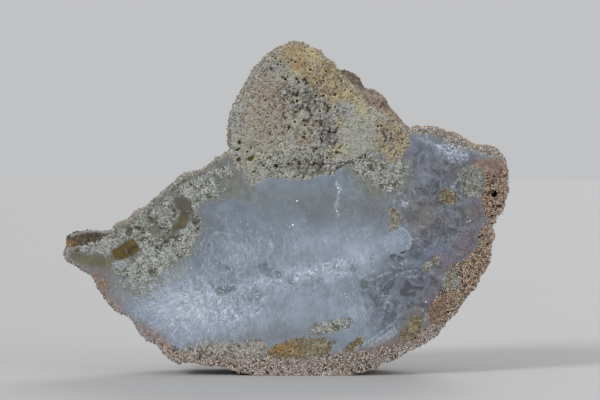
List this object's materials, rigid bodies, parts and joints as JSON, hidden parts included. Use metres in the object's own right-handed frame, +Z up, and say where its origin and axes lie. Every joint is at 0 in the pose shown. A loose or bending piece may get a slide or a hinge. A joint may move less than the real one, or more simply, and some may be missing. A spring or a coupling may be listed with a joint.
{
  "type": "moss agate end cut",
  "caption": "Moss agate specimen: thick nodule end cut with a flat sawn face, rough natural rind and back, standing upright on a flat foot.",
  "frame": {"origin": "under the middle of the stone's bounding box, on the plane of the foot that it stands on", "axes": "+X along the longest side, to the right of someone facing the sawn face; +Y into the stone, away from the sawn face, along its thickness; +Z up"},
  "size_m": [0.116, 0.0296, 0.0871],
  "materials": {
    "chalcedony": "matt sawn agate, rough rind"
  },
  "bodies": {
    "root": {"moss_agate": "chalcedony"}
  },
  "joints": []
}
